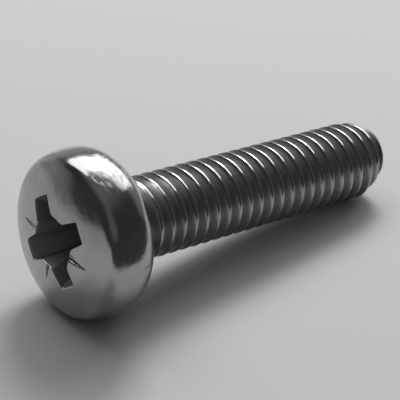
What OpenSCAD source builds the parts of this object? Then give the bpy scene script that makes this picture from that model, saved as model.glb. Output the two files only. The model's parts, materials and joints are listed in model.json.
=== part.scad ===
// Pan-head machine screw with a four-wing cross recess, size M3 x 12, lying on its side as it
// comes to rest: on the rim of its head and the end of its thread. One solid piece of steel.
// The origin is the middle of the bearing face under the head, and the axis runs to the tip.

/* [Shank] */
// Major diameter of the thread, a little under its nominal 3 mm
thread_d = 2.9; // [2.4:0.05:4]
// Length from the bearing face to the flat end
shank_l = 12.2; // [8:0.1:30]
// Length of the chamfer at the tip
tip_l = 0.9; // [0.3:0.05:1.5]
// Diameter of the flat end
tip_d = 2.0; // [1.4:0.05:2.3]
// Fillet where the shank meets the bearing face
fillet_r = 0.15; // [0.05:0.05:0.3]

/* [Head] */
// Largest diameter of the head
head_d = 5.8; // [4.8:0.1:8]
// Height of the head above its bearing face, on the axis
head_h = 2.4; // [2:0.05:3.2]
// How much smaller across the flat bearing face is than the widest circle
bearing_inset = 0.95; // [0.3:0.05:1.4]
// Height of the widest circle above the bearing face
brim_h = 0.87; // [0.5:0.01:1]
// Radius of the bulge of the side above the widest circle
side_r = 3.1; // [2:0.1:6]
// Radius of the rounded corner between the side and the dome
corner_r = 0.5; // [0.2:0.05:0.6]
// Radius of the domed top
dome_r = 7; // [5:0.5:20]

/* [Recess] */
// Distance across two opposite wings where they meet the dome
wing_span = 3.1; // [2.6:0.05:3.7]
// Width of a wing at its outer end
wing_w = 0.72; // [0.5:0.02:0.88]
// Width that the same flanks have where they cross the axis
wing_axis_w = 0.98; // [0.9:0.02:1.1]
// Distance across two opposite faces of the square core
core_w = 1.76; // [1.5:0.02:2]
// Depth of the wings below the top of the dome
wing_depth = 1.75; // [1.2:0.05:1.9]
// Lean of a wing's outer end from the screw's axis, in degrees
wing_lean = 28; // [15:1:30]
// Lean of the wings' flanks, in degrees
flank_lean = 3; // [1:0.5:6]
// Lean of the core's faces, in degrees
core_lean = 14; // [8:0.5:18]
// Ledge between the core's faces and the conical bottom
cone_ledge = 0.05; // [0.02:0.01:0.1]
// Height of the conical bottom below the wings
cone_h = 0.2; // [0.05:0.05:0.3]
// Turn of the recess about the screw's axis, in degrees
recess_turn = 34; // [0:1:89]

/* [Grooves between the wings] */
// Distance from the axis to a groove's outer end
groove_reach = 1.65; // [1.3:0.05:1.9]
// Width of a groove at the surface
groove_w = 0.12; // [0.06:0.01:0.2]
// Depth of a groove
groove_depth = 0.08; // [0.03:0.01:0.12]

/* [Hidden] */
$fn = 96;
wings = 4;
arc_steps = 8;
proud = 0.3;            // how far the cutters stand out of the surface they cut
sheet = 0.001;          // thickness of the outlines that a cutter is stretched between
steel = [0.62, 0.62, 0.63];

// the head's side: two arcs that meet at the widest circle, with centres as [radius, height]
bearing_d = head_d - bearing_inset;
lower_r = (pow(brim_h, 2) + pow(bearing_inset / 2, 2)) / bearing_inset;
lower_c = [head_d / 2 - lower_r, brim_h];
side_c = [head_d / 2 - side_r, brim_h];
dome_c = [0, head_h - dome_r];
corner_c = meeting_point(side_c, side_r - corner_r, dome_c, dome_r - corner_r);
side_end = heading(side_c, corner_c);
corner_end = heading(dome_c, corner_c);

// half of the head's section, as [radius, height above the bearing face]
head_section = concat(
    [[0, 0]],
    arc(lower_c, lower_r, heading(lower_c, [bearing_d / 2, 0]), 0),
    arc(side_c, side_r, 0, side_end),
    arc(corner_c, corner_r, side_end, corner_end),
    arc(dome_c, dome_r, corner_end, 90)
);

// the lying pose: the head's lower arc and the end of the full thread touch one plane
thread_end = shank_l - tip_l;
pose_rise = lower_c[0] - thread_d / 2;
pose_run = brim_h + thread_end;
lying_tilt = atan2(pose_rise, pose_run) + asin(lower_r / norm([pose_rise, pose_run]));

// the recess: where its wings meet the dome, and where they end below
mouth_h = dome_height(wing_span / 2);
floor_h = head_h - wing_depth;
cutter_top = head_h + proud;
groove_start = core_w / 2 - proud;
groove_fall = heading([groove_start, dome_height(groove_start)],
                      [groove_reach, dome_height(groove_reach)]);
groove_flare = 1 + proud / groove_depth;

function heading(from, to) = atan2(to[1] - from[1], to[0] - from[0]);

function dome_height(r) = dome_c[1] + sqrt(dome_r * dome_r - r * r);

// the point at distance ra from a and rb from b that lies further from the axis
function meeting_point(a, ra, b, rb) =
    let (
        apart = norm(b - a),
        along = (ra * ra - rb * rb + apart * apart) / (2 * apart),
        across = sqrt(ra * ra - along * along),
        u = (b - a) / apart
    )
    a + along * u + across * [-u[1], u[0]];

// points on an arc about c, from angle a0 to a1
function arc(c, r, a0, a1) =
    [for (i = [0:arc_steps]) let (a = a0 + (a1 - a0) * i / arc_steps) c + r * [cos(a), sin(a)]];

// how far a face that leans by an angle has moved out at height h, from where it meets the dome
function leaned(at_mouth, lean, h) = at_mouth + (h - mouth_h) * tan(lean);

module head_blank() {
    rotate_extrude()
        polygon(head_section);
}

// a plain cylinder at the thread's major diameter, rooted in the head, with its chamfered tip
module shank() {
    mirror([0, 0, 1]) {
        translate([0, 0, -floor_h / 2])
            cylinder(d = thread_d, h = thread_end + floor_h / 2);
        translate([0, 0, thread_end])
            cylinder(d1 = thread_d, d2 = tip_d, h = tip_l);
    }
}

module under_head_fillet() {
    rotate_extrude()
        difference() {
            translate([thread_d / 2 - fillet_r, -fillet_r])
                square([2 * fillet_r, 2 * fillet_r]);
            translate([thread_d / 2 + fillet_r, -fillet_r])
                circle(r = fillet_r);
        }
}

// the outline of two opposite wings at height h
module wing_pair_outline(h) {
    reach = leaned(wing_span / 2, wing_lean, h);
    end_w = leaned(wing_w / 2, flank_lean, h);
    middle_w = leaned(wing_axis_w / 2, flank_lean, h);
    translate([0, 0, h])
        linear_extrude(sheet)
            polygon([
                [reach, -end_w], [reach, end_w], [0, middle_w],
                [-reach, end_w], [-reach, -end_w], [0, -middle_w]
            ]);
}

module wing_pair() {
    hull() {
        wing_pair_outline(floor_h);
        wing_pair_outline(cutter_top);
    }
}

// the square core, its corners in line with the wings, and the cone below it
module recess_core() {
    floor_w = leaned(core_w / 2, core_lean, floor_h);
    top_w = leaned(core_w / 2, core_lean, cutter_top);
    translate([0, 0, floor_h])
        cylinder(r1 = floor_w * sqrt(2), r2 = top_w * sqrt(2), h = cutter_top - floor_h, $fn = 4);
    translate([0, 0, floor_h - cone_h])
        cylinder(r1 = 0, r2 = floor_w - cone_ledge, h = cone_h);
}

// a shallow vee that runs out from the core, half-way between two wings
module groove() {
    translate([groove_start, 0, dome_height(groove_start)])
        rotate([0, -groove_fall, 0])
            rotate([90, 0, 90])
                linear_extrude((groove_reach - groove_start) / cos(groove_fall))
                    polygon([
                        [0, -groove_depth],
                        [groove_w / 2 * groove_flare, proud],
                        [-groove_w / 2 * groove_flare, proud]
                    ]);
}

module recess() {
    rotate([0, 0, recess_turn]) {
        wing_pair();
        rotate([0, 0, 90])
            wing_pair();
        recess_core();
        for (i = [0:wings - 1])
            rotate([0, 0, (i + 0.5) * 360 / wings])
                groove();
    }
}

// the whole screw, made upright with its head up, then laid down
module screw() {
    color(steel)
        rotate([0, lying_tilt - 90, 0])
            difference() {
                union() {
                    head_blank();
                    shank();
                    under_head_fillet();
                }
                recess();
            }
}

screw();
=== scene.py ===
import json
import math

import bmesh
import bpy
import numpy as np
from mathutils import Matrix, Quaternion, Vector


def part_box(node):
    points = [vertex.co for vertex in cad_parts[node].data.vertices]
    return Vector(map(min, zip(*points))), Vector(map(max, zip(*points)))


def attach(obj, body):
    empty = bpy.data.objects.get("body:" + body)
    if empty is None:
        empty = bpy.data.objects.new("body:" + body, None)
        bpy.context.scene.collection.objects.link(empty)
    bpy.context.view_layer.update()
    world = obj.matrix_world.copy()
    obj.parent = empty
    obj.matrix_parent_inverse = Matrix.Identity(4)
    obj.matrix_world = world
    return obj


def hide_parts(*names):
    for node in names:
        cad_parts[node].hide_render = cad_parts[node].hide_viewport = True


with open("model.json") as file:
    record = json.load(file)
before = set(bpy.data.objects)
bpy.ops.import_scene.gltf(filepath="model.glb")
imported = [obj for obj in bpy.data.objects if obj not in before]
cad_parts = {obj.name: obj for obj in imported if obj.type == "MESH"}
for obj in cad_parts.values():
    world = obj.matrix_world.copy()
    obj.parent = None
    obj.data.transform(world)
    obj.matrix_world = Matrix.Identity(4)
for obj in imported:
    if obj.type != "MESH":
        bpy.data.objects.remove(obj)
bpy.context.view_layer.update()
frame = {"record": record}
mounts = {m["name"]: m for m in frame["record"]["mounts"]}
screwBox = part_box("screw")
mm = 0.001

# the turn from the upright screw to the lying one
headWay = -Vector(mounts["shank"]["axis"]).normalized()
sideWay = Vector((0.0, 1.0, 0.0))
lying = Matrix((sideWay.cross(headWay), sideWay, headWay)).transposed()


class Wire:
    # one output of a node, which can take part in sums
    def __init__(self, net, socket):
        self.net = net
        self.socket = socket

    def __add__(self, other):
        return self.net.sum("ADD", self, other)

    def __sub__(self, other):
        return self.net.sum("SUBTRACT", self, other)

    def __rsub__(self, other):
        return self.net.sum("SUBTRACT", other, self)

    def __mul__(self, other):
        return self.net.sum("MULTIPLY", self, other)

    def __pow__(self, other):
        return self.net.sum("POWER", self, other)

    __radd__ = __add__
    __rmul__ = __mul__

    def parts(self):
        cut = self.net.put("ShaderNodeSeparateXYZ", {}, {"Vector": self})
        return [Wire(self.net, socket) for socket in cut.socket.node.outputs]


class Net:
    # the node tree of a material or of the world
    def __init__(self, owner):
        owner.use_nodes = True
        self.tree = owner.node_tree
        self.tree.nodes.clear()

    def put(self, kind, settings=None, values=None, out=0):
        # settings are the node's own, set first; values are numbers or wires for its sockets
        made = self.tree.nodes.new(kind)
        for name, value in (settings or {}).items():
            setattr(made, name, value)
        for key, value in (values or {}).items():
            if isinstance(value, Wire):
                self.tree.links.new(value.socket, made.inputs[key])
            else:
                made.inputs[key].default_value = value
        return Wire(self, made.outputs[out]) if len(made.outputs) else None

    def sum(self, operation, a, b):
        return self.put("ShaderNodeMath", {"operation": operation}, {0: a, 1: b})

    def step(self, value, low, high):
        # 0 below low, 1 above high and smooth between; falls instead where low is above high
        return self.put("ShaderNodeMapRange", {"interpolation_type": "SMOOTHSTEP"},
                        {"Value": value, "From Min": low, "From Max": high})

    def noise(self, place, scale, detail=3.0, rough=0.5, distortion=0.0):
        return self.put("ShaderNodeTexNoise", {}, {
            "Vector": place, "Scale": scale, "Detail": detail, "Roughness": rough, "Distortion": distortion
        })

    def mix(self, factor, a, b):
        return self.put("ShaderNodeMix", {"data_type": "RGBA"}, {"Factor": factor, 6: a, 7: b}, 2)


def grey(level):
    return (level, level, level, 1.0)


def smooth(x, low, high):
    t = np.clip((x - low) / (high - low), 0, 1)
    return t * t * (3 - 2 * t)


# the screw is made upright, in millimetres, with its head up and its bearing face at zero

head = {
    "diameter": 5.8,          # at the widest circle
    "height": 2.4,
    "bearingInset": 0.95,     # how much smaller across the bearing face is
    "brimHeight": 0.87,       # the widest circle above the bearing face
    "sideRadius": 3.1,
    "cornerRadius": 0.5,
    "domeRadius": 7.0,
    "ringRadius": 2.0,        # from here outwards the dome's rows are true circles
    "domeRows": 27,
    "rowCrowding": 1.3,       # above 1 the dome's rows lie closer together near the recess
    "columns": 512,
    "sectionSteps": (5, 8, 8, 9),  # along the dome, its corner, the side and below the widest circle
    "sharpEdge": 42.0,        # degrees between two faces from which their edge is drawn hard
    "nicks": [                # direction in degrees, distance from the axis, height, reach and depth
        (-93.0, 2.84, 0.55, 0.2, 0.045),
        (121.5, 2.2, 2.05, 0.16, 0.05),
        (37.0, 2.2, 2.04, 0.12, 0.025),
    ],
}

recess = {
    "span": 3.1,              # across two wings where they meet the dome
    "wingWidth": 0.72,        # at the wing's end
    "axisWidth": 0.98,        # where the same flanks cross the axis
    "depth": 1.75,
    "wingLean": 28.0,
    "flankLean": 3.0,
    "coreLean": 14.0,
    "coneRadius": 0.43,
    "coneDepth": 0.2,
    "endRound": 0.05,
    "floorRound": 0.03,
    "lip": 0.035,
    "turn": 34.0,
    "wings": 4,
    "outlineCounts": (10, 8, 16, 14, 16),  # points along half a quarter: end, its corner, flank, bend, core
    "bendReach": 1.5,         # the bend's largest radius, in parts of the core's straight run
    "wallRows": 15,
    "coneShares": (0.05, 0.3, 0.6, 0.85, 1.0),
    "lipShares": (0.2, 0.4, 0.6, 0.8),
    # between the wings: the core's distance from the axis, the rounding beside it, and a tick with its
    # two ends as (distance from the axis, degrees from the diagonal), its width and its depth
    "quarters": [
        {"core": 0.84, "round": 0.12, "tick": ((0.70, 0.0), (1.78, 6.0)), "width": 0.14, "depth": 0.10},
        {"core": 0.87, "round": 0.12, "tick": ((0.75, 6.5), (1.52, 0.5)), "width": 0.15, "depth": 0.10},
        {"core": 0.95, "round": 0.30, "tick": ((0.80, 4.0), (1.70, 1.7)), "width": 0.21, "depth": 0.15},
        {"core": 0.89, "round": 0.08, "tick": ((0.80, 0.0), (1.22, 3.0)), "width": 0.10, "depth": 0.03},
    ],
    "tickTaper": 0.8,         # how much thinner a tick is at its outer end
    "burrHeight": 0.15,       # of the raised edge beside a tick, in parts of its depth
    "burrAt": 1.3,            # and its distance and breadth, in parts of the tick's half width
    "burrBreadth": 0.3,
}

thread = {
    "diameter": 2.0 * mounts["shank"]["dims"]["r_mm"],
    "pitch": 0.5,
    "crestFlat": 0.06,
    "crestRadius": 0.025,     # of the crest's two edges
    "rootRadius": 0.072,
    "steepness": 60.0,        # of a flank, from the axis
    "length": 12.2,
    "tipLength": 0.9,
    "tipDiameter": 2.0,
    "tipCurve": 1.25,         # 1 for a straight chamfer
    "tipLean": 0.13,          # how much further out the chamfer's end is on its fuller side
    "tipLeanAt": 345.0,       # and that side's direction
    "tipRound": 0.07,
    "tipFace": 0.2,           # the plain end of the chamfer
    "grooveShare": 0.35,      # how much the groove falls where the ridges do
    "neckDiameter": 2.5,
    "neckFillet": 0.15,
    "filletSteps": 5,
    "starts": 0.2,            # below the bearing face
    "fullFrom": 0.5,
    "crestAt": 0.495,         # below the bearing face, in line with the first wing
    "ridgeSpan": (0.35, 0.65),  # where the tip's ridge gives way to the next, in parts of a pitch
    "mergeWithin": 0.006,     # a row this close to the thread's plain end rings joins them
    "underReach": 0.35,       # of the bearing face's inner ring beyond the fillet
    "endRounding": ((0.0, 0.0), (0.3, 0.6), (0.65, 0.9), (1.1, 1.0)),
    "endRing": 0.4,
    "columns": 128,
}


def arc(centre, radius, fromAngle, toAngle, steps):
    angles = np.radians(np.linspace(fromAngle, toAngle, steps + 1))
    return np.array(centre) + radius * np.stack([np.cos(angles), np.sin(angles)], 1)


def heading(start, end):
    return math.degrees(math.atan2(end[1] - start[1], end[0] - start[0]))


def meetingPoint(a, fromA, b, fromB):
    # the point at those two distances from a and b that lies further from the axis
    a, b = np.array(a), np.array(b)
    apart = np.linalg.norm(b - a)
    along = (fromA ** 2 - fromB ** 2 + apart ** 2) / (2 * apart)
    across = math.sqrt(fromA ** 2 - along ** 2)
    unit = (b - a) / apart
    return a + along * unit + across * np.array([-unit[1], unit[0]])


def domeHeight(points):
    away = np.linalg.norm(points, axis=-1)
    return head["height"] - head["domeRadius"] + np.sqrt(head["domeRadius"] ** 2 - away ** 2)


def headSection():
    # from the dome's outer part down to the bearing face's edge, as (radius, height)
    wide, inset, brim = head["diameter"] / 2, head["bearingInset"], head["brimHeight"]
    lowRadius = (brim ** 2 + (inset / 2) ** 2) / inset
    low = (wide - lowRadius, brim)
    side = (wide - head["sideRadius"], brim)
    dome = (0.0, head["height"] - head["domeRadius"])
    corner = meetingPoint(side, head["sideRadius"] - head["cornerRadius"],
                          dome, head["domeRadius"] - head["cornerRadius"])
    sideEnd, cornerEnd = heading(side, corner), heading(dome, corner)
    ringAngle = math.degrees(math.acos(head["ringRadius"] / head["domeRadius"]))
    edgeAngle = heading(low, (wide - inset / 2, 0))
    domeSteps, cornerSteps, sideSteps, lowSteps = head["sectionSteps"]
    return np.vstack([
        arc(dome, head["domeRadius"], ringAngle, cornerEnd, domeSteps)[1:],
        arc(corner, head["cornerRadius"], cornerEnd, sideEnd, cornerSteps)[1:],
        arc(side, head["sideRadius"], sideEnd, 0, sideSteps)[1:],
        arc(low, lowRadius, 0, edgeAngle, lowSteps)[1:],
    ])


def roundedPath(corners, radii, counts):
    # points along straight runs joined by arcs; counts are for run, arc, run, arc ... run
    corners = [np.array(c, float) for c in corners]
    path, start = [], corners[0]
    for i, radius in enumerate(radii):
        here, before, after = corners[i + 1], corners[i], corners[i + 2]
        came, goes = before - here, after - here
        came, goes = came / np.linalg.norm(came), goes / np.linalg.norm(goes)
        half = math.acos(came @ goes) / 2
        cut = radius / math.tan(half)
        first, last = here + came * cut, here + goes * cut
        middle = here + (came + goes) / np.linalg.norm(came + goes) * radius / math.sin(half)
        path += [start + (first - start) * t for t in np.arange(counts[2 * i]) / counts[2 * i]]
        for t in np.arange(counts[2 * i + 1]) / counts[2 * i + 1]:
            ray = first + (last - first) * t - middle
            path.append(middle + ray / np.linalg.norm(ray) * radius)
        start = last
    path += [start + (corners[-1] - start) * t for t in np.arange(counts[-1]) / counts[-1]]
    return np.array(path + [corners[-1]])


def turned(points, degrees):
    c, s = math.cos(math.radians(degrees)), math.sin(math.radians(degrees))
    return points @ np.array([[c, s], [-s, c]])


def recessOutline(down):
    # the recess cut across, at a depth below the wings' mouths; it has as many points as the head has
    # columns
    def leaned(atMouth, lean):
        return atMouth - down * math.tan(math.radians(lean))

    reach = leaned(recess["span"] / 2, recess["wingLean"])
    endHalf = leaned(recess["wingWidth"] / 2, recess["flankLean"])
    axisHalf = leaned(recess["axisWidth"] / 2, recess["flankLean"])
    slope = (axisHalf - endHalf) / reach
    points = []
    for k, quarter in enumerate(recess["quarters"]):
        core = leaned(quarter["core"], recess["coreLean"]) * math.sqrt(2)
        meetX = (core - axisHalf) / (1 - slope)
        meet = (meetX, axisHalf - slope * meetX)
        middle = (core / 2, core / 2)
        room = min(quarter["round"], recess["bendReach"] * math.dist(meet, middle))
        half = roundedPath([(reach, 0), (reach, endHalf), meet, middle],
                           [recess["endRound"], room], recess["outlineCounts"])
        whole = np.vstack([half[:-1], half[:0:-1, ::-1]])
        points.append(turned(whole, recess["turn"] + 360 / recess["wings"] * k))
    return np.vstack(points)


def outward(line):
    # unit normals of a closed outline that runs anticlockwise
    run = np.roll(line, -1, axis=0) - np.roll(line, 1, axis=0)
    normal = np.stack([run[:, 1], -run[:, 0]], 1)
    return normal / np.linalg.norm(normal, axis=1)[:, None]


def tickDepth(points):
    # how deep the four ticks between the wings are at each point of the dome
    depth = np.zeros(len(points))
    for k, quarter in enumerate(recess["quarters"]):
        diagonal = recess["turn"] + 360 / recess["wings"] * (k + 0.5)
        start, end = [turned(np.array([[r, 0.0]]), diagonal + lean)[0] for r, lean in quarter["tick"]]
        run = end - start
        along = np.clip((points - start) @ run / (run @ run), 0, 1)
        away = np.linalg.norm(points - start - along[:, None] * run, axis=1)
        thin = 1 - recess["tickTaper"] * along ** 2
        share = away / (quarter["width"] / 2 * thin)
        groove = np.clip(1 - share, 0, 1) * thin
        aside = (share - recess["burrAt"]) / recess["burrBreadth"]
        burr = recess["burrHeight"] * np.exp(-aside ** 2) * (1 - along)
        depth += quarter["depth"] * (groove - burr)
    return depth


def raised(points, heights):
    return np.column_stack([points, heights * np.ones(len(points))])


def ring(radius, columns):
    angles = math.radians(recess["turn"]) + 2 * np.pi * np.arange(columns) / columns
    return radius * np.stack([np.cos(angles), np.sin(angles)], 1)


def dented(points):
    middle = np.array([0.0, 0.0, head["brimHeight"]])
    for direction, radius, height, reach, depth in head["nicks"]:
        place = np.append(turned(np.array([[radius, 0.0]]), direction), height)
        share = np.clip(1 - np.linalg.norm(points - place, axis=1) / reach, 0, 1)
        inward = (middle - place) / np.linalg.norm(middle - place)
        points = points + (depth * share * share * (3 - 2 * share))[:, None] * inward
    return points


def headLoops():
    # closed rows of points, from the bottom of the recess up its walls, over its lip, across the dome
    # and down the side to the bearing face
    mouth = float(domeHeight(np.array([recess["span"] / 2, 0.0])))
    floor = head["height"] - recess["depth"]
    circle = ring(1.0, head["columns"])
    bottom, top = recessOutline(mouth - floor), recessOutline(0.0)

    def wall(height):
        return bottom + (top - bottom) * ((height - floor) / (mouth - floor))[:, None]

    # where the walls meet the dome, found by going back and forth between the two
    rim = domeHeight(top)
    for attempt in range(4):
        rim = domeHeight(wall(rim))
    cone = recess["coneRadius"]
    inner = bottom - outward(bottom) * recess["floorRound"]
    loops = [raised(circle * cone * t, floor - recess["coneDepth"] * (1 - t)) for t in recess["coneShares"]]
    loops += [raised((circle * cone + inner) / 2, floor), raised(inner, floor)]
    for t in np.linspace(0, 1, recess["wallRows"]):
        height = floor + recess["floorRound"] + (rim - recess["lip"] - floor - recess["floorRound"]) * t
        loops.append(raised(wall(height), height))
    start, edge = loops[-1], raised(wall(rim), rim)
    lipLine = wall(rim) + outward(wall(rim)) * recess["lip"]
    end = raised(lipLine, domeHeight(lipLine))
    for t in recess["lipShares"]:
        row = start * (1 - t) ** 2 + edge * 2 * t * (1 - t) + end * t ** 2
        row[:, 2] -= tickDepth(row[:, :2]) * t
        loops.append(row)
    for t in np.linspace(0, 1, head["domeRows"]) ** head["rowCrowding"]:
        line = lipLine + (circle * head["ringRadius"] - lipLine) * t
        loops.append(raised(line, domeHeight(line) - tickDepth(line)))
    loops += [raised(circle * radius, height) for radius, height in headSection()]
    return [dented(loop) for loop in loops]


def threadProfile():
    # one pitch of the thread, from crest to crest, as offsets along the axis and radii
    steep = math.radians(thread["steepness"])
    edge, root = thread["crestRadius"], thread["rootRadius"]
    half, flat = thread["pitch"] / 2, thread["crestFlat"] / 2
    edgeAngles = np.linspace(0, steep, 3)
    rootAngles = np.linspace(steep, -steep, 5)
    run = half - flat - (edge + root) * math.sin(steep)
    fall = (edge + root) * (1 - math.cos(steep)) + run * math.tan(steep)
    right = np.stack([flat + edge * np.sin(edgeAngles), edge * (np.cos(edgeAngles) - 1)], 1)
    left = right[::-1] * (-1, 1)
    roots = np.stack([half - root * np.sin(rootAngles), root * (1 - np.cos(rootAngles)) - fall], 1)
    down = (right[-1] + roots[0]) / 2
    up = (roots[-1] + left[0] + (2 * half, 0)) / 2
    profile = np.vstack([left, right, down, roots, up])
    return profile[:, 0], profile[:, 1] + thread["diameter"] / 2


def tipRadius(below, directions):
    # the chamfer that the thread runs out on
    fuller = turned(np.array([[thread["tipLean"], 0.0]]), thread["tipLeanAt"])[0]
    wide, narrow = thread["diameter"] / 2, thread["tipDiameter"] / 2 + directions @ fuller
    t = np.clip((below - thread["length"] + thread["tipLength"]) / thread["tipLength"], 0, 1)
    return wide - (wide - narrow) * t ** thread["tipCurve"]


class Skin:
    # a mesh in the making: rows of points, each joined to the next
    def __init__(self):
        self.points = []
        self.faces = []

    def add(self, points):
        start = len(self.points)
        self.points += [tuple(p) for p in points]
        return list(range(start, len(self.points)))

    def join(self, outer, inner):
        # the first row may have a whole number of times as many points as the second
        many = len(outer) // len(inner)
        for i in range(len(inner)):
            after = (i + 1) % len(inner)
            side = [outer[(i * many + k) % len(outer)] for k in range(many, -1, -1)]
            self.faces.append([inner[i], inner[after]] + side)

    def rows(self, loops):
        made = [self.add(loop) for loop in loops]
        for a, b in zip(made, made[1:]):
            self.join(a, b)
        return made[0], made[-1]

    def cap(self, row, point):
        middle = self.add([point])[0]
        for i in range(len(row)):
            self.faces.append([row[i], row[(i + 1) % len(row)], middle])


def addThread(skin, first, last):
    # rows that follow the helix, between two plain rings; past a ring's height a point is the ring's own
    offsets, radii = threadProfile()
    columns, pitch, rowsPerTurn = thread["columns"], thread["pitch"], len(offsets)
    start, stop = thread["starts"], thread["length"] - thread["tipRound"]
    directions = ring(1.0, columns)
    crestRadius, depth = radii.max(), radii.max() - radii.min()
    turns = int(thread["length"] / pitch) + 3
    margin = thread["mergeWithin"]
    grid = {}
    for j in range(columns):
        for k in range(-2 * rowsPerTurn, turns * rowsPerTurn):
            n, i = divmod(k, rowsPerTurn)
            crest = thread["crestAt"] + pitch * (n - j / columns)
            below = crest + offsets[i]
            if below < start + margin:
                grid[j, k] = first[j]
            elif below > stop - margin:
                grid[j, k] = last[j]
            else:
                grown = smooth(below, start, thread["fullFrom"])
                # towards the tip each ridge is lower as a whole, and the groove beside it a little
                ridge = crest + pitch * smooth(offsets[i] / pitch, *thread["ridgeSpan"])
                share = 1 - (1 - thread["grooveShare"]) * (crestRadius - radii[i]) / depth
                fall = (crestRadius - tipRadius(ridge, directions[j])) * share
                radius = thread["neckDiameter"] / 2 * (1 - grown) + (radii[i] - fall) * grown
                ending = smooth(below, stop - thread["tipFace"], stop)
                radius += (tipRadius(below, directions[j]) - radius) * ending
                grid[j, k] = skin.add([(*(directions[j] * radius), -below)])[0]
    for j in range(columns):
        for k in range(-rowsPerTurn, (turns - 1) * rowsPerTurn):
            # one column further on the helix has climbed; past the last column it is a turn higher
            beside = (lambda r: grid[j + 1, r]) if j + 1 < columns else (lambda r: grid[0, r - rowsPerTurn])
            corners = [grid[j, k], grid[j, k + 1], beside(k + 1), beside(k)]
            corners = [c for i, c in enumerate(corners) if c != corners[i - 1]]
            if len(corners) > 2:
                skin.faces.append(corners)


def makeScrew():
    skin = Skin()
    loops = headLoops()
    apex = (0.0, 0.0, head["height"] - recess["depth"] - recess["coneDepth"])
    innermost, edge = skin.rows(loops)
    skin.cap(innermost, apex)

    columns, neck, fillet = thread["columns"], thread["neckDiameter"] / 2, thread["neckFillet"]
    under = [raised(ring(neck + fillet + thread["underReach"], columns), 0.0)]
    corner = arc((neck + fillet, -fillet), fillet, 90, 180, thread["filletSteps"])
    under += [raised(ring(radius, columns), height) for radius, height in corner]
    under.append(raised(ring(neck, columns), -thread["starts"]))
    top, threadStart = skin.rows(under)
    skin.join(edge, top)

    # the flat end, with a rounded edge as (inwards, along) in parts of its radius
    directions = ring(1.0, columns)
    rounding = thread["tipRound"]
    stop = thread["length"] - rounding
    rim = tipRadius(stop, directions)[:, None]
    end = [raised(directions * (rim - inward * rounding), -stop - along * rounding)
           for inward, along in thread["endRounding"]]
    end.append(raised(directions * thread["endRing"], -thread["length"]))
    threadEnd, centreRow = skin.rows(end)
    addThread(skin, threadStart, threadEnd)
    skin.cap(centreRow, (0.0, 0.0, -thread["length"]))

    data = bpy.data.meshes.new("screwBody")
    data.from_pydata([lying @ (Vector(p) * mm) for p in skin.points], [], skin.faces)
    form = bmesh.new()
    form.from_mesh(data)
    bmesh.ops.recalc_face_normals(form, faces=form.faces)
    for face in form.faces:
        face.smooth = True
    for line in form.edges:
        line.smooth = line.calc_face_angle(0.0) < math.radians(head["sharpEdge"])
    print("screw mesh:", len(form.verts), "points,", sum(len(f.verts) - 2 for f in form.faces), "triangles,",
          sum(not e.is_manifold for e in form.edges), "open edges, volume",
          round(form.calc_volume() / mm ** 3, 2), "cubic mm")
    form.to_mesh(data)
    form.free()
    screw = bpy.data.objects.new("screwBody", data)
    bpy.context.scene.collection.objects.link(screw)
    return screw


steel = {
    "tone": 0.4,              # of the bright head
    "threadTone": 0.33,       # of the thread's flanks
    "crestTone": 0.35,        # of its crests
    "tipTone": 0.12,          # of its plain end
    "paintedShadeAndGrimeTone": 0.2,         # painted shade with grime deep in the recess and the ticks, and the colour of the specks
    "paintedShadeAndGrimeDulls": 0.6,        # how far the painted shade and grime in the recess take the metal's shine away
    "cloudTones": (0.9, 1.08),  # of the bright head, in parts of its tone
    "speckShare": 0.3,
    "rough": 0.115,
    "crestRough": 0.14,
    "threadRough": 0.42,
    "tipRough": 0.5,
    "paintedShadeAndGrimeRough": 0.42,
    "cloudRough": 0.12,       # how much the roughness varies with the clouds and with the grain
    "grainRough": 0.06,
    "pitDepth": 0.014,        # millimetres
    "scratchDepth": 0.0012,
    "speckDepth": 0.0018,
    "waveDepth": 0.012,
    # where each look begins and where it is full, in millimetres
    "headHeights": (-0.35, -0.05),
    "tipHeights": (-11.2, -12.1),
    "endHeights": (-11.88, -12.06),
    "crestAway": (1.36, 1.43),  # from the axis
    "tipDrop": 0.28,          # how much nearer to the axis a crest's look begins at the tip
    "recessAway": (1.8, 1.95),
    "sideAway": (2.6, 2.8),
    "paintedShadeAndGrimeDepths": (0.012, 0.09),  # below the dome; the recess's painted shade and grime begin at the first and are full at the second
    # the head's flecks gather at one place on its side, and a few are anywhere on it
    "flecksAt": (2.75, -0.9, 1.0),
    "fleckReach": (0.85, 0.35),
    "fleckRest": 0.05,
    "fleckStretch": (1.0, 1.0, 2.6),
    # noises, as scale, detail, roughness and distortion, and the levels they are cut at
    "clouds": (0.9, 4.0, 0.55),
    "specks": (14.0, 3.0, 0.6),
    "grain": (45.0, 2.0, 0.6),
    "flecks": (5.5, 4.0, 0.7, 0.8),
    "waves": (1.7, 2.0, 0.4),
    "cloudLevels": (0.3, 0.7),
    "speckLevels": (0.66, 0.74),
    "fleckLevels": (0.54, 0.62),
}


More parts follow.
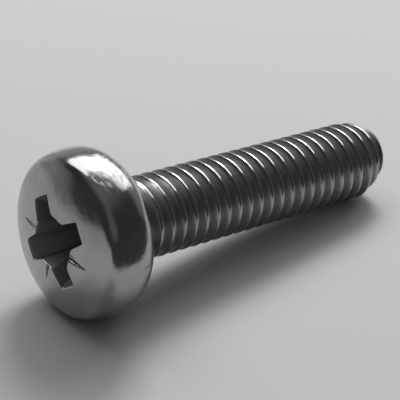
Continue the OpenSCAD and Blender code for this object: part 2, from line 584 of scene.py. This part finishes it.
def makeSteel():
    made = bpy.data.materials.new("brightSteel")
    net = Net(made)
    # places on the screw as it stands upright, in millimetres
    upright = net.put("ShaderNodeMapping", {}, {
        "Vector": net.put("ShaderNodeTexCoord", out=3),
        "Rotation": lying.transposed().to_euler(), "Scale": (1 / mm,) * 3
    })
    x, y, z = upright.parts()
    radius = (x * x + y * y) ** 0.5
    below = (head["domeRadius"] ** 2 - radius * radius) ** 0.5 + (head["height"] - head["domeRadius"]) - z
    onHead = net.step(z, *steel["headHeights"])
    inside = (1 - net.step(radius, *steel["recessAway"])) * onHead
    # painted shade: the recess and its ticks get darker the deeper they lie below the dome, together with
    # grime
    paintedShadeAndGrime = net.step(below, *steel["paintedShadeAndGrimeDepths"]) * inside
    crest = net.step(radius + net.step(z, *steel["tipHeights"]) * steel["tipDrop"], *steel["crestAway"])
    ending = net.step(z, *steel["endHeights"])

    clouds = net.noise(upright, *steel["clouds"])
    specks = net.noise(upright, *steel["specks"])
    grain = net.noise(upright, *steel["grain"])
    drawn = net.put("ShaderNodeMapping", {}, {"Vector": upright, "Scale": steel["fleckStretch"]})
    flecks = net.noise(drawn, *steel["flecks"])

    dim, light = [grey(steel["tone"] * share) for share in steel["cloudTones"]]
    bright = net.mix(net.step(clouds, *steel["cloudLevels"]), dim, light)
    flank = net.mix(crest, grey(steel["threadTone"]), grey(steel["crestTone"]))
    flank = net.mix(ending, flank, grey(steel["tipTone"]))
    tone = net.mix(onHead, flank, bright)
    # painted shade with grime: a darker colour deep in the recess and the ticks stands in for the shade
    # there
    tone = net.mix(paintedShadeAndGrime, tone, grey(steel["paintedShadeAndGrimeTone"]))
    speckled = net.step(specks, *steel["speckLevels"]) * steel["speckShare"]
    tone = net.mix(speckled, tone, grey(steel["paintedShadeAndGrimeTone"]))

    rough = steel["threadRough"] + (steel["crestRough"] - steel["threadRough"]) * crest
    rough = rough + (steel["tipRough"] - rough) * ending
    rough = rough + (steel["rough"] - rough) * onHead
    rough = rough + (clouds - 0.5) * steel["cloudRough"] + (grain - 0.5) * steel["grainRough"]
    rough = rough + paintedShadeAndGrime * (steel["paintedShadeAndGrimeRough"] - steel["rough"])

    away = net.put("ShaderNodeVectorMath", {"operation": "DISTANCE"}, {0: upright, 1: steel["flecksAt"]}, 1)
    side = net.step(radius, *steel["sideAway"]) * onHead
    worn = (net.step(away, *steel["fleckReach"]) * (1 - steel["fleckRest"]) + steel["fleckRest"]) * side
    relief = net.step(flecks, *steel["fleckLevels"]) * worn * (-steel["pitDepth"])
    relief = relief + net.noise(upright, *steel["waves"]) * onHead * steel["waveDepth"]
    relief = relief + grain * steel["scratchDepth"] + specks * steel["speckDepth"]
    bump = net.put("ShaderNodeBump", {}, {"Strength": 1.0, "Distance": mm, "Height": relief})
    body = net.put("ShaderNodeBsdfPrincipled", {}, {
        "Base Color": tone, "Metallic": 1 - paintedShadeAndGrime * steel["paintedShadeAndGrimeDulls"], "Roughness": rough, "Normal": bump
    })
    net.put("ShaderNodeOutputMaterial", {}, {"Surface": body})
    return made


def makePaper():
    made = bpy.data.materials.new("palePaper")
    net = Net(made)
    net.put("ShaderNodeOutputMaterial", {}, {"Surface": net.put("ShaderNodeBsdfPrincipled", {}, {
        "Base Color": grey(studio["floorTone"]), "Roughness": studio["floorRough"],
        "Specular IOR Level": studio["floorShine"]
    })})
    return made


studio = {
    "floorSide": 1.2,
    "floorTone": 0.45,
    "floorRough": 0.9,
    "floorShine": 0.2,
    "room": 0.05,             # the room's own light
    "glows": [                # its paler places: azimuth, elevation, reach and core in degrees, level
        (-22.0, -8.0, 38.0, 8.0, 0.29),
        (20.0, -5.0, 45.0, 8.0, 0.35),
        (0.0, 90.0, 50.0, 0.0, 0.14),
        (0.0, 30.0, 34.0, 5.0, 0.1),
        (-155.0, 28.0, 32.0, 10.0, 0.09),
        (85.0, 17.0, 36.0, 5.0, 0.2),
    ],
    # name, (azimuth, elevation), roll, distance, width, height, power, seen in reflections
    "lamps": [
        ("window", (70.0, 40.0), 21.0, 0.25, 0.182, 0.193, 0.28, True),
        ("skylight", (14.6, 54.2), 18.0, 0.25, 0.23, 0.143, 0.25, True),
        ("lamp", (52.0, 43.5), 12.0, 0.25, 0.1, 0.06, 0.41, True),
        ("fill", (-140.0, 60.0), 0.0, 0.25, 0.3, 0.3, 0.07, False),
    ],
    "flagSpan": (-0.016, 0.03),  # a dark board beside the screw, seen only in its reflections
    "flagAt": -0.0095,
    "flagHeight": 0.006,
    "flagTone": 0.055,
}


def wayTo(azimuth, elevation):
    a, e = math.radians(azimuth), math.radians(elevation)
    return Vector((math.sin(a) * math.cos(e), math.cos(a) * math.cos(e), math.sin(e)))


def makeFloor():
    half = studio["floorSide"] / 2
    corners = [(-half, -half, 0), (half, -half, 0), (half, half, 0), (-half, half, 0)]
    data = bpy.data.meshes.new("floor")
    data.from_pydata(corners, [], [(0, 1, 2, 3)])
    made = bpy.data.objects.new("floor", data)
    made.location.z = screwBox[0].z
    data.materials.append(makePaper())
    bpy.context.scene.collection.objects.link(made)


def makeLamps():
    for name, (azimuth, elevation), roll, distance, width, height, power, reflected in studio["lamps"]:
        lamp = bpy.data.lights.new(name, "AREA")
        lamp.shape = "RECTANGLE"
        lamp.size = width
        lamp.size_y = height
        lamp.energy = power
        made = bpy.data.objects.new(name, lamp)
        way = wayTo(azimuth, elevation)
        made.location = way * distance
        rolled = Quaternion((0.0, 0.0, 1.0), math.radians(roll))
        made.rotation_euler = (way.to_track_quat("Z", "Y") @ rolled).to_euler()
        made.visible_glossy = reflected
        bpy.context.scene.collection.objects.link(made)


def makeFlag():
    left, right = studio["flagSpan"]
    low, y = screwBox[0].z, studio["flagAt"]
    data = bpy.data.meshes.new("flag")
    corners = [(left, y, low), (right, y, low), (right, y, low + studio["flagHeight"]),
               (left, y, low + studio["flagHeight"])]
    data.from_pydata(corners, [], [(0, 1, 2, 3)])
    cloth = bpy.data.materials.new("darkCloth")
    net = Net(cloth)
    net.put("ShaderNodeOutputMaterial", {}, {"Surface": net.put("ShaderNodeEmission", {}, {
        "Color": grey(studio["flagTone"]), "Strength": 1.0
    })})
    data.materials.append(cloth)
    made = bpy.data.objects.new("flag", data)
    made.visible_camera = False
    made.visible_diffuse = False
    made.visible_shadow = False
    bpy.context.scene.collection.objects.link(made)


def makeRoom():
    world = bpy.data.worlds.new("room")
    bpy.context.scene.world = world
    net = Net(world)
    way = net.put("ShaderNodeTexCoord")
    light = studio["room"]
    for azimuth, elevation, reach, core, level in studio["glows"]:
        facing = net.put("ShaderNodeVectorMath", {"operation": "DOT_PRODUCT"},
                         {0: way, 1: wayTo(azimuth, elevation)}, 1)
        light = net.step(facing, math.cos(math.radians(reach)), math.cos(math.radians(core))) * level + light
    back = net.put("ShaderNodeBackground", {}, {"Color": light, "Strength": 1.0})
    net.put("ShaderNodeOutputWorld", {}, {"Surface": back})


view = {
    "azimuth": 39.91,         # the way the camera looks, from +Y towards +X
    "elevation": 29.59,
    "aim": (0.00398, 0.0, -0.00043),
    "distance": 0.0533,
    "lens": 137.1,
    "sensor": 36.0,
    "clip": (0.001, 10.0),
}


def makeCamera():
    lens = bpy.data.cameras.new("camera")
    lens.lens = view["lens"]
    lens.sensor_width = view["sensor"]
    lens.clip_start, lens.clip_end = view["clip"]
    made = bpy.data.objects.new("camera", lens)
    look = wayTo(view["azimuth"], -view["elevation"])
    made.location = Vector(view["aim"]) - look * view["distance"]
    made.rotation_euler = look.to_track_quat("-Z", "Y").to_euler()
    bpy.context.scene.collection.objects.link(made)
    bpy.context.scene.camera = made


makeCamera()
makeFloor()
makeLamps()
makeFlag()
makeRoom()
bpy.context.scene.view_settings.view_transform = "Standard"
print("studio ready")

screw = makeScrew()
screw.data.materials.append(makeSteel())
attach(screw, "root")
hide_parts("screw")
print("screw ready")
